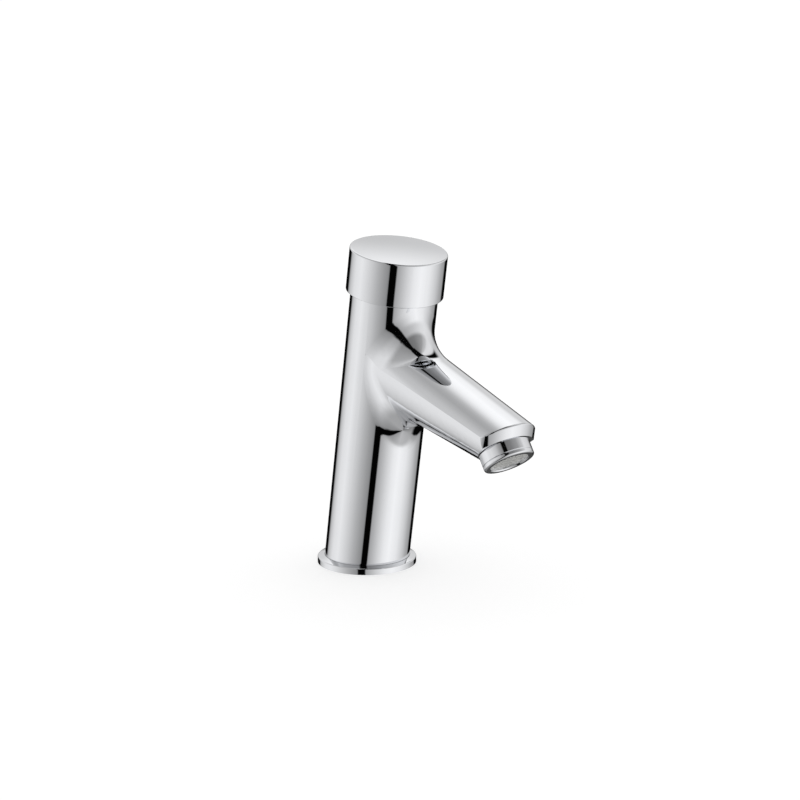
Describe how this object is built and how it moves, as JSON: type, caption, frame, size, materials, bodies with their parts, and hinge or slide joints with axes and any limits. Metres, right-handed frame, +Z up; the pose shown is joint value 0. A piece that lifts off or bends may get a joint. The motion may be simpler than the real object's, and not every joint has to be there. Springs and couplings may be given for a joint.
{
  "type": "push timed tap",
  "caption": "Chromed basin tap with a leaning round body, a short spout with a screwed aerator at a slant, and a broad push cap on top that works a slow-closing cartridge",
  "frame": {"origin": "centre of the base ring on the deck", "axes": "+X along the spout, +Y to the left seen from behind the tap, +Z up"},
  "size_m": [0.1486, 0.049, 0.1639],
  "materials": {
    "cast_chrome": "polished chrome over cast brass",
    "ring_chrome": "polished chrome over turned brass",
    "cap_chrome": "polished chrome over turned brass",
    "aerator_chrome": "polished chrome over turned brass",
    "brass": "turned, bare",
    "stainless": "turned, bare",
    "spring_steel": "drawn wire and stamped strip, bare",
    "black_rubber": "moulded, dull",
    "fibre": "cut sheet, dull",
    "black_plastic": "moulded, dull",
    "grey_plastic": "moulded, dull",
    "white_plastic": "moulded, satin"
  },
  "bodies": {
    "tap": {"tap_body": "cast_chrome", "base_ring": "ring_chrome", "aerator_housing": "aerator_chrome", "aerator_grille": "white_plastic", "base_gasket": "black_rubber", "bonnet": "brass", "bonnet_o_ring": "black_rubber", "stem_bush": "white_plastic", "stem_seal": "black_rubber", "seal_retainer": "stainless", "sleeve_gasket": "fibre", "timing_cylinder": "grey_plastic", "upper_sleeve_ring": "black_rubber", "lower_sleeve_ring": "black_rubber", "return_spring": "spring_steel", "valve_seat": "stainless", "valve_cage": "grey_plastic", "flow_limiter": "black_rubber", "inlet_filter": "stainless", "chamber_gasket": "fibre", "aerator_washer": "black_rubber", "aerator_core": "white_plastic", "aerator_screen": "stainless"},
    "button": {"push_cap": "cap_chrome", "cap_insert": "black_plastic", "cap_clip": "spring_steel", "stem": "stainless", "piston": "black_plastic", "piston_lip_seal": "black_rubber", "piston_clip": "spring_steel", "bleed_pin": "stainless", "valve_washer": "black_rubber", "washer_holder": "brass", "washer_screw": "brass"}
  },
  "joints": [
    {"name": "push", "type": "slide", "parent": "tap", "child": "button", "axis": [-0.1736, 0, -0.9848], "range_m": [0, 0.006], "stiffness_N_per_m": 800, "springref_m": -0.02, "deforming": ["return_spring"]}
  ]
}
